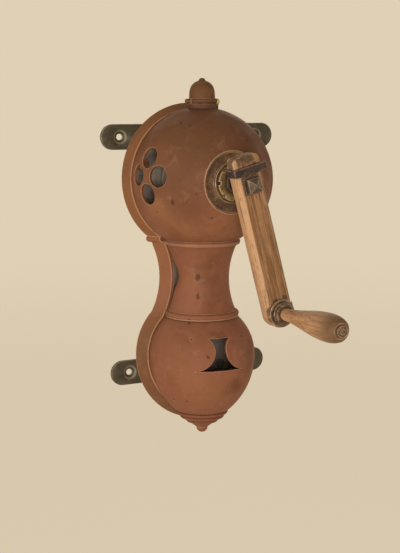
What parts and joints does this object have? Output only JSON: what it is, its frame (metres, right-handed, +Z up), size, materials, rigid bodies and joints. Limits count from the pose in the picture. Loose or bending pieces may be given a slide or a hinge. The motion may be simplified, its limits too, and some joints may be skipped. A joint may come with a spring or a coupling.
{
  "type": "wall coffee mill",
  "caption": "Wall-hung coffee mill in cast iron: ball hopper with hinged filler, cone-and-ring grinding set on a cranked shaft, waist, and ball receiver with a bottom plug.",
  "frame": {"origin": "midway between the two upper wall screw holes, on the wall plane", "axes": "+X to the right, +Y into the wall, +Z up"},
  "size_m": [0.172, 0.2114, 0.3202],
  "materials": {
    "painted_iron": "worn red-brown paint over cast iron",
    "strap_iron": "dark olive-black wrought iron, worn at the edges",
    "dark_iron": "dark bare iron, hand forged",
    "tooth_iron": "hard grey iron with cut teeth",
    "sheet_iron": "dull rolled sheet iron",
    "old_brass": "tarnished brass, bright where it rubs",
    "arm_wood": "oiled oak, straight grain along the arm",
    "grip_wood": "turned beech, dark from handling"
  },
  "bodies": {
    "casing": {"hopper_shell": "painted_iron", "waist_shell": "painted_iron", "receiver_shell": "painted_iron", "filler_neck": "painted_iron", "back_tray": "painted_iron", "upper_wall_strap": "strap_iron", "lower_wall_strap": "strap_iron", "strap_rivets": "strap_iron", "casting_screws": "dark_iron", "bearing_flange": "old_brass", "flange_screws": "old_brass", "grinding_ring": "tooth_iron", "ring_screws": "dark_iron", "grinding_housing": "dark_iron", "housing_screws": "dark_iron", "hopper_floor": "sheet_iron", "joint_plate": "sheet_iron", "rear_bearing": "old_brass", "lid_hinge_pin": "old_brass", "front_bush": "old_brass"},
    "lid": {"filler_lid": "painted_iron"},
    "plug": {"bottom_plug": "painted_iron"},
    "adjuster": {"adjusting_nut": "old_brass"},
    "crank": {"crank_shaft": "dark_iron", "thrust_collar": "dark_iron", "grinding_cone": "tooth_iron", "cone_pin": "dark_iron", "crank_arm": "arm_wood", "arm_band": "dark_iron", "square_plate": "dark_iron", "square_nut": "dark_iron", "grip_spindle": "dark_iron", "spindle_washer": "dark_iron"},
    "grip": {"grip_ferrule": "old_brass", "grip": "grip_wood"}
  },
  "joints": [
    {"name": "lid_hinge", "type": "hinge", "parent": "casing", "child": "lid", "pos_m": [0.012, -0.028, 0.0306], "axis": [0, 1, 0], "range_deg": [0, 105]},
    {"name": "plug_pull", "type": "slide", "parent": "casing", "child": "plug", "axis": [0, 0, -1], "range_m": [0, 0.025]},
    {"name": "nut_turn", "type": "hinge", "parent": "casing", "child": "adjuster", "pos_m": [0, -0.088, -0.037], "axis": [0, 1, 0], "range_deg": [-144, 144]},
    {"name": "crank_turn", "type": "hinge", "parent": "casing", "child": "crank", "pos_m": [0, -0.107, -0.037], "axis": [0, 1, 0], "continuous": true},
    {"name": "grip_turn", "type": "hinge", "parent": "crank", "child": "grip", "pos_m": [0.02978, -0.16, -0.14663], "axis": [0, 1, 0], "continuous": true}
  ]
}
